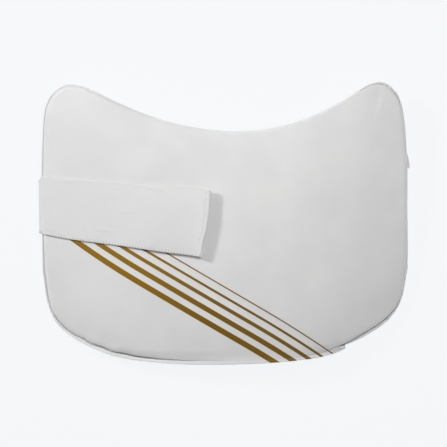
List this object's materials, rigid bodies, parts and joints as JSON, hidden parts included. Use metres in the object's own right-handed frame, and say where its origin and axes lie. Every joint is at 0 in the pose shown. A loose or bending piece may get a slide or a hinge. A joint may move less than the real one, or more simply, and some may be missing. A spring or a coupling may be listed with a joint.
{
  "type": "chest guard",
  "caption": "Padded chest guard: curved foam body in a striped white cover, bound edge, and a wide elastic strap that goes round its side and fastens over the face.",
  "frame": {"origin": "under the middle of the whole guard, on the surface that it lies on", "axes": "+X across the chest, to the right as seen from the front; +Y from the waist to the neck; +Z out of the face"},
  "size_m": [0.3244, 0.2452, 0.0476],
  "materials": {
    "cover": "fine-grained white leathercloth with gold diagonal stripes, satin",
    "backing": "plain woven off-white backing cloth, matt",
    "binding": "turned edge of the white leathercloth, on which the gold stripes run on, satin",
    "elastic": "white ribbed elastic webbing, matt",
    "hook_tape": "white hook tape, matt"
  },
  "bodies": {
    "root": {"face_pad": "cover", "back_panel": "backing", "edge_binding": "binding", "strap": "elastic", "strap_hem": "elastic", "hook_patch": "hook_tape", "side_tab": "elastic"}
  },
  "joints": []
}
